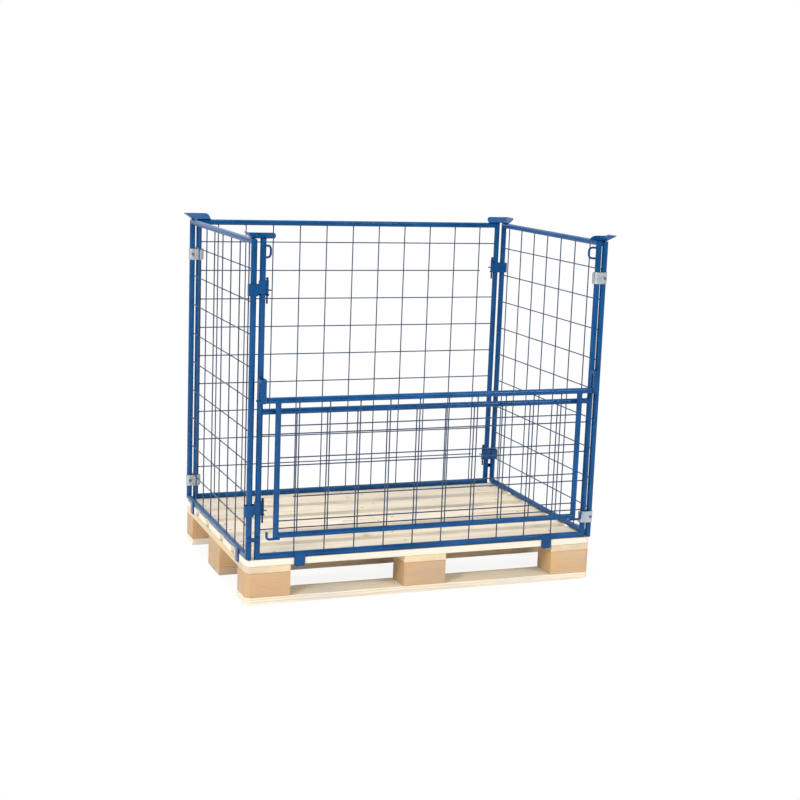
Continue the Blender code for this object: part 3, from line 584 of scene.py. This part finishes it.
def plate(bm, low, high, corner):
    """A flat bar or plate with its corners rounded in its own plane and its edges broken."""
    low, high = Vector(low), Vector(high)
    size = Matrix.Diagonal((*(high - low), 1.0))
    part = bmesh.new()
    bmesh.ops.create_cube(part, size=1.0, matrix=Matrix.Translation((low + high) / 2) @ size)
    through = [edge for edge in part.edges
               if abs(edge.verts[1].co.y - edge.verts[0].co.y) > abs(high.y - low.y) / 2]
    bmesh.ops.bevel(part, geom=through, offset=corner, segments=CORNER_SEGMENTS, profile=0.5,
                    affect="EDGES")
    rims = [edge for edge in part.edges if edge.calc_face_angle(0.0) > radians(RIM_ABOVE)]
    bmesh.ops.bevel(part, geom=rims, offset=PLATE_EDGE, segments=EDGE_SEGMENTS, profile=0.5,
                    affect="EDGES")
    shape = bpy.data.meshes.new("plate")
    part.to_mesh(shape)
    part.free()
    bm.from_mesh(shape)
    bpy.data.meshes.remove(shape)


def stand(bm, cad_node, material, place=None, smooth_below=SMOOTH_BELOW):
    """Makes the finished piece that stands for a CAD node, in that node's place."""
    if place:
        bm.transform(place)
    bmesh.ops.recalc_face_normals(bm, faces=bm.faces[:])
    data = bpy.data.meshes.new(cad_node + ".finish")
    bm.to_mesh(data)
    bm.free()
    data.shade_smooth()
    data.set_sharp_from_angle(angle=radians(smooth_below))
    data.materials.append(material)
    piece = link(bpy.data.objects.new(cad_node + ".finish", data))
    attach(piece, BODY_OF[cad_node])
    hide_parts(cad_node)
    return piece


def dress(cad_node, material, bevel=0.0):
    """A welded copy of a CAD node's shape, with its edges broken and its round parts smooth."""
    bm = bmesh.new()
    bm.from_mesh(NODES[cad_node].data)
    bmesh.ops.remove_doubles(bm, verts=bm.verts[:], dist=SAME_POINT)
    bmesh.ops.dissolve_limit(bm, angle_limit=radians(FLAT_BELOW), verts=bm.verts[:],
                             edges=bm.edges[:])
    piece = stand(bm, cad_node, material)
    if bevel:
        modifier = piece.modifiers.new("edges", "BEVEL")
        modifier.width = bevel
        modifier.segments = EDGE_SEGMENTS
        modifier.limit_method = "ANGLE"
        modifier.angle_limit = radians(BROKEN_ABOVE)
        modifier.use_clamp_overlap = True


# ---- Collar frames ----

def lug(bm, x, rng):
    """Plate that hangs over the pallet's edge, with the welds that hold it to the bottom rail."""
    back = LUG_WELD - TUBE_RADIUS
    bottom = DECK_TOP - LUG_DROP
    left, right = x - LUG_SIZE.x / 2, x + LUG_SIZE.x / 2
    plate(bm, (left, back - LUG_SIZE.y, bottom), (right, back, bottom + LUG_SIZE.z), LUG_CORNER)
    upper = LOW_RAIL + sqrt(TUBE_RADIUS ** 2 - back ** 2)
    bead(bm, straight((left, back, upper), (right, back, upper)), BEAD, rng, closed=False)
    for end in (left, right):
        bead(bm, straight((end, back, LOW_RAIL), (end, back, upper)), FINE_BEAD, rng, closed=False)


def lugs(bm, start, end, from_post, rng):
    """The two lugs of a panel, each at the same distance from its post."""
    for x in (start + from_post, end - from_post):
        lug(bm, x, rng)


def stop_bar(bm, rng):
    """Flat bar across both posts of a latch corner, welded to the panel's post."""
    back = -TUBE_RADIUS - SEAT_GAP
    low = DECK_TOP + STOP_HEIGHT
    high = low + STOP_TALL
    inner, outer = -PANEL_SPAN + STOP_OVER_PANEL_POST, -PANEL_SPAN - STOP_OVER_PANEL_POST
    plate(bm, (LATCH_SIDE_POST - STOP_OVER_SIDE_POST, back - STOP_THICKNESS, low),
          (inner, back, high), STOP_THICKNESS)
    for z in (low + BEAD, high - BEAD):
        bead(bm, straight((outer, back, z), (inner, back, z)), BEAD, rng, closed=False)


def corner_welds(bm, rings, heart, rng):
    """Beads on the mitres, left on the inside of the frame and dressed flat on the outside."""
    for ring in rings:
        bead(bm, ring[::len(ring) // MITRE_POINTS], BEAD, rng, heart=heart)


def closed_frame(bm, start, end, lug_from_post, rng):
    """Four mitred tubes and two lugs, for a side or for the back."""
    corners = [(start, 0, LOW_RAIL), (end, 0, LOW_RAIL), (end, 0, TOP_RAIL), (start, 0, TOP_RAIL)]
    rings = tube(bm, corners, TUBE_RADIUS, closed=True)
    corner_welds(bm, rings, Vector(((start + end) / 2, 0, MID_HEIGHT)), rng)
    lugs(bm, start, end, lug_from_post, rng)


def side_frame(side, place, rng):
    bm = bmesh.new()
    closed_frame(bm, -PANEL_Y, PANEL_Y, SIDE_LUG_FROM_POST, rng)
    stand(bm, "side_frame_" + side, BLUE, place)


def back_frame(rng):
    bm = bmesh.new()
    closed_frame(bm, -PANEL_SPAN, 0, LUG_FROM_POST, rng)
    stop_bar(bm, rng)
    stand(bm, "back_frame", BLUE, BACK)


def post_loop(bm, post, toward, rng):
    """Rod loop on a front post, turned a little into the cage."""
    top = FRAME_TOP - LOOP_TOP_BELOW
    low = top - LOOP_HEIGHT
    inner = (post + toward * LOOP_ALONG * LOOP_ROOT, LOOP_INWARD * LOOP_ROOT)
    outer = (post + toward * LOOP_ALONG, LOOP_INWARD)
    corners = [(*inner, low), (*outer, low), (*outer, top), (*inner, top)]
    tube(bm, filleted(corners, LOOP_BEND), LOOP_RADIUS, ROD_SIDES)
    out = Vector((toward * LOOP_ALONG, LOOP_INWARD, 0)).normalized()
    for z in (low, top):
        line = tee((post, 0, z), (0, 0, 1), out, TUBE_RADIUS, LOOP_RADIUS)
        bead(bm, line[::2], FINE_BEAD, rng)


def front_frame(rng):
    """Two posts and the bottom rail in one mitred run, with the middle rail between the posts."""
    bm = bmesh.new()
    left, right = -PANEL_SPAN, 0
    corners = [(right, 0, FRAME_TOP), (right, 0, LOW_RAIL),
               (left, 0, LOW_RAIL), (left, 0, FRAME_TOP)]
    rings = tube(bm, corners, TUBE_RADIUS)
    corner_welds(bm, rings[1:3], Vector((-PANEL_SPAN / 2, 0, MID_HEIGHT)), rng)
    tube(bm, [(left, 0, MIDDLE_RAIL), (right, 0, MIDDLE_RAIL)], BRANCH_RADIUS)
    for post, toward in ((left, 1), (right, -1)):
        line = tee((post, 0, MIDDLE_RAIL), (0, 0, 1), (toward, 0, 0), TUBE_RADIUS, BRANCH_RADIUS)
        bead(bm, line, BEAD, rng)
        post_loop(bm, post, toward, rng)
    lugs(bm, left, right, LUG_FROM_POST, rng)
    stop_bar(bm, rng)
    stand(bm, "front_frame", BLUE, FRONT)


def gate_hook(bm, toward, rng):
    """J-shaped rod under one end of the gate, with its two seams to the gate's bottom tube."""
    low = -GATE_DROP - HOOK_BELOW_RAIL
    seam = -GATE_DROP - BRANCH_RADIUS
    inner, outer = toward * (GATE_HALF - HOOK_INBOARD), toward * (GATE_HALF + HOOK_OUTBOARD)
    path = filleted([(inner, 0, low), (outer, 0, low), (outer, 0, low + HOOK_RISE)], HOOK_BEND)
    tube(bm, path, HOOK_RADIUS, ROD_SIDES)
    for beside in (-1, 1):
        y = beside * HOOK_RADIUS * HOOK_SEAM_ASIDE
        line = straight((inner, y, seam), (toward * GATE_HALF, y, seam))
        bead(bm, line, FINE_BEAD, rng, closed=False)


def gate_frame(rng):
    """Through rail, a U of tube below it, pivot pins and hooks, about the pivot's axis."""
    bm = bmesh.new()
    blunt_rod(bm, PANEL_SPAN / 2 - GATE_RAIL_SPACE, TUBE_RADIUS)
    left, right = -GATE_HALF, GATE_HALF
    corners = [(left, 0, 0), (left, 0, -GATE_DROP), (right, 0, -GATE_DROP), (right, 0, 0)]
    rings = tube(bm, corners, BRANCH_RADIUS)
    corner_welds(bm, rings[1:3], Vector((0, 0, -GATE_DROP / 2)), rng)
    blunt_rod(bm, PANEL_SPAN / 2 + PIVOT_REACH, PIVOT_RADIUS, ROD_SIDES)
    for toward in (-1, 1):
        place = (toward * GATE_HALF, 0, 0)
        bead(bm, tee(place, (1, 0, 0), (0, 0, -1), TUBE_RADIUS, BRANCH_RADIUS), BEAD, rng)
        gate_hook(bm, toward, rng)
    stand(bm, "gate_frame", BLUE, GATE)


# ---- Wire meshes ----

def wire_ends(cad_node):
    """Reads each wire's run from its CAD mesh. The four-sided wires there have an edge in the
    panel's outer face or in its inner one, so the points in a face are the ends of that face's
    wires."""
    low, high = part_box(cad_node)
    along, layer = (0, 1) if high[0] - low[0] > high[1] - low[1] else (1, 0)
    points = [vert.co for vert in NODES[cad_node].data.vertices]
    runs = {}
    for face, inward in ((low[layer], 1), (high[layer], -1)):
        rows, columns = {}, {}
        for point in points:
            if abs(point[layer] - face) < WIRE_RADIUS / 20:
                rows.setdefault(round(point.z, SAME_WIRE_DECIMALS), []).append(point)
                columns.setdefault(round(point[along], SAME_WIRE_DECIMALS), []).append(point)
        if len(rows) > len(columns):
            kind, groups, axis = "cross", rows, along
        else:
            kind, groups, axis = "upright", columns, 2
        runs[kind] = []
        for group in groups.values():
            ends = [pick(group, key=lambda p: p[axis]).copy() for pick in (min, max)]
            for end in ends:
                end[layer] = face + inward * WIRE_RADIUS
            runs[kind].append(ends)
    return runs, along, layer


def wire_mesh(cad_node):
    """Round wires that bite into the tubes, with flattened weld spots where they cross and at
    their ends."""
    runs, along, layer = wire_ends(cad_node)
    low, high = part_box(cad_node)
    bm = bmesh.new()
    flat = Vector((1.0, 1.0, 1.0))
    flat[layer] = SPOT_FLATNESS
    for kind, axis in (("upright", 2), ("cross", along)):
        for start, end in runs[kind]:
            for point, side, edge in ((start, -1, low[axis]), (end, 1, high[axis])):
                if abs(point[axis] - edge) < 2 * SEAT_GAP:
                    blob(bm, point, flat * END_SPOT)
                    point[axis] += side * WIRE_BITE
            tube(bm, [start, end], WIRE_RADIUS, WIRE_SIDES)
    for upright, _ in runs["upright"]:
        for start, end in runs["cross"]:
            if start[along] < upright[along] < end[along]:
                place = (upright + start) / 2
                place[along], place.z = upright[along], start.z
                blob(bm, place, flat * CROSSING_SPOT)
    stand(bm, cad_node, WIRE, smooth_below=WIRES_SMOOTH_BELOW)


# ---- Pallet ----

def board(cad_node):
    """A pallet piece in wood of its own: its grain runs along it, and its pith lies under or over
    it."""
    low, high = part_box(cad_node)
    rng = random.Random(cad_node)
    along = max(range(3), key=lambda axis: high[axis] - low[axis])
    across = 1 - along if along < 2 else 0
    pith = middle(cad_node)
    pith[across] += rng.uniform(-PITH_ASIDE, PITH_ASIDE)
    pith.z += rng.choice((-1, 1)) * rng.uniform(*PITH_AWAY)
    light, dark, upright_pale_share = next((wood for start, wood in WOODS_AND_PAINTED_LIGHT.items()
                               if cad_node.startswith(start)), DECK_WOOD)
    shade = rng.uniform(*WOOD_SHADE)
    warm = rng.uniform(*WOOD_WARMTH)
    light, dark = ((red * shade, green * shade, blue * shade * warm)
                   for red, green, blue in (light, dark))
    seed = rng.uniform(*WOOD_SEED)
    wood = pine("pine_" + cad_node, along, pith, seed, light, dark, upright_pale_share)
    dress(cad_node, wood, bevel=WOOD_EDGE)


def nails(material):
    """Nail heads in the deck boards, over the three stringers."""
    rng = random.Random("nails")
    bm = bmesh.new()
    for number in range(1, DECK_BOARDS + 1):
        low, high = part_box(f"deck_board_{number}")
        width = high[1] - low[1]
        count = NAILS_WIDE_BOARD if width > WIDE_BOARD else NAILS_NARROW_BOARD
        for column in ("left", "middle", "right"):
            centre = middle(f"stringer_{column}").x
            for i in range(count):
                share = NAIL_MARGIN + NAIL_SPREAD * (i + 0.5) / count
                y = low[1] + width * share + rng.uniform(-NAIL_STRAY_ACROSS, NAIL_STRAY_ACROSS)
                x = centre + (NAIL_ODD_ASIDE if i % 2 else NAIL_EVEN_ASIDE)
                x += rng.uniform(-NAIL_STRAY_ALONG, NAIL_STRAY_ALONG)
                place = Matrix.Translation((x, y, DECK_TOP + NAIL_PROUD / 2))
                bmesh.ops.create_cone(bm, cap_ends=True, segments=NAIL_SIDES,
                                      radius1=NAIL_RADIUS, radius2=NAIL_RADIUS * NAIL_RIM,
                                      depth=NAIL_PROUD, matrix=place)
    data = bpy.data.meshes.new("deck_nails")
    bm.to_mesh(data)
    bm.free()
    data.materials.append(material)
    piece = link(bpy.data.objects.new("deck_nails", data))
    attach(piece, BODY_OF["deck_board_1"])


# ---- Studio ----

def add_stage():
    """A white floor that keeps the object's shadow and runs into the white background."""
    data = bpy.data.meshes.new("floor")
    bm = bmesh.new()
    bmesh.ops.create_grid(bm, x_segments=1, y_segments=1, size=FLOOR_SIZE)
    bm.to_mesh(data)
    bm.free()
    floor = link(bpy.data.objects.new("floor", data))
    floor.location.z = -FLOOR_BELOW
    made, shading, shader = new_material("floor")
    shading.feed(shader, {"Base Color": rgba(FLOOR_COLOUR), "Roughness": 0.9,
                          "Specular IOR Level": 0.1})
    lit = shader.outputs[0]
    away = shading.add("ShaderNodeVectorMath", {0: shading.position()}, operation="LENGTH")
    away = shading.maths("MULTIPLY", away.outputs["Value"], 1 / FLOOR_FADE_LENGTH)
    glow = shading.add("ShaderNodeEmission", {"Color": rgba(WHITE), "Strength": 1.0}).outputs[0]
    seen = shading.choose(shading.ramp(away, FLOOR_FADE), lit, glow)
    camera_ray = shading.add("ShaderNodeLightPath").outputs["Is Camera Ray"]
    output = made.node_tree.nodes["Material Output"]
    shading.feed(output, {"Surface": shading.choose(camera_ray, lit, seen)})
    data.materials.append(made)


def add_world():
    """White all round, as the camera sees it. For reflections the side behind the camera is
    darker."""
    world = bpy.data.worlds.new("studio")
    bpy.context.scene.world = world
    world.use_nodes = True
    world.node_tree.nodes.clear()
    shading = Shading(world.node_tree)
    ray = shading.add("ShaderNodeLightPath").outputs
    toward = shading.axes(shading.add("ShaderNodeTexCoord").outputs["Generated"])
    mirrored = shading.ramp(shading.plus(toward[1], 0.5, 0.5), MIRRORED_FADE)
    plain = shading.maths("MAXIMUM", ray["Is Camera Ray"], ray["Is Transmission Ray"])
    shown = {"Color": shading.mix(plain, mirrored, WHITE), "Strength": 1.0}
    ambient = {"Color": rgba(WHITE), "Strength": AMBIENT}
    light = shading.choose(shading.maths("MAXIMUM", plain, ray["Is Glossy Ray"]),
                           shading.add("ShaderNodeBackground", ambient).outputs[0],
                           shading.add("ShaderNodeBackground", shown).outputs[0])
    shading.add("ShaderNodeOutputWorld", {"Surface": light})


def add_lamp(name, place, size, power):
    data = bpy.data.lights.new(name, "AREA")
    data.shape = "DISK"
    data.size = size
    data.energy = power
    lamp = link(bpy.data.objects.new(name, data))
    lamp.location = place
    lamp.rotation_euler = (LAMP_AIM - Vector(place)).to_track_quat("-Z", "Y").to_euler()


add_camera()
add_stage()
add_world()
for lamp in LAMPS:
    add_lamp(*lamp)
bpy.context.scene.view_settings.view_transform = "Standard"

BLUE = powder_coat("blue_powder_coat", (0.0008, 0.046, 0.150), (0.0012, 0.071, 0.226), 0.20)
WIRE = powder_coat("wire_coat", (0.022, 0.048, 0.098), (0.036, 0.070, 0.136), 0.30)
DARK = powder_coat("dark_rod_coat", (0.002, 0.020, 0.075), (0.004, 0.034, 0.120), 0.36)
ZINC = galvanised("galvanised", (0.49, 0.54, 0.58))
RIVET = galvanised("rivet_zinc", (0.17, 0.185, 0.20))

random_welds = random.Random(5)
side_frame("left", LEFT, random_welds)
side_frame("right", RIGHT, random_welds)
back_frame(random_welds)
front_frame(random_welds)
gate_frame(random_welds)
nails(nail_steel())
for cad_node in sorted(NODES):
    if "mesh" in cad_node:
        wire_mesh(cad_node)
    elif cad_node.startswith(("skid", "block", "stringer", "deck")):
        board(cad_node)
    elif cad_node.startswith("hinge_strap"):
        dress(cad_node, ZINC, bevel=STRAP_EDGE)
    elif cad_node.startswith(("hinge_rivet", "pivot")):
        dress(cad_node, RIVET)
    elif cad_node.startswith("lock_pin"):
        dress(cad_node, DARK)
    elif "frame" not in cad_node:
        dress(cad_node, BLUE, bevel=COATED_EDGE)
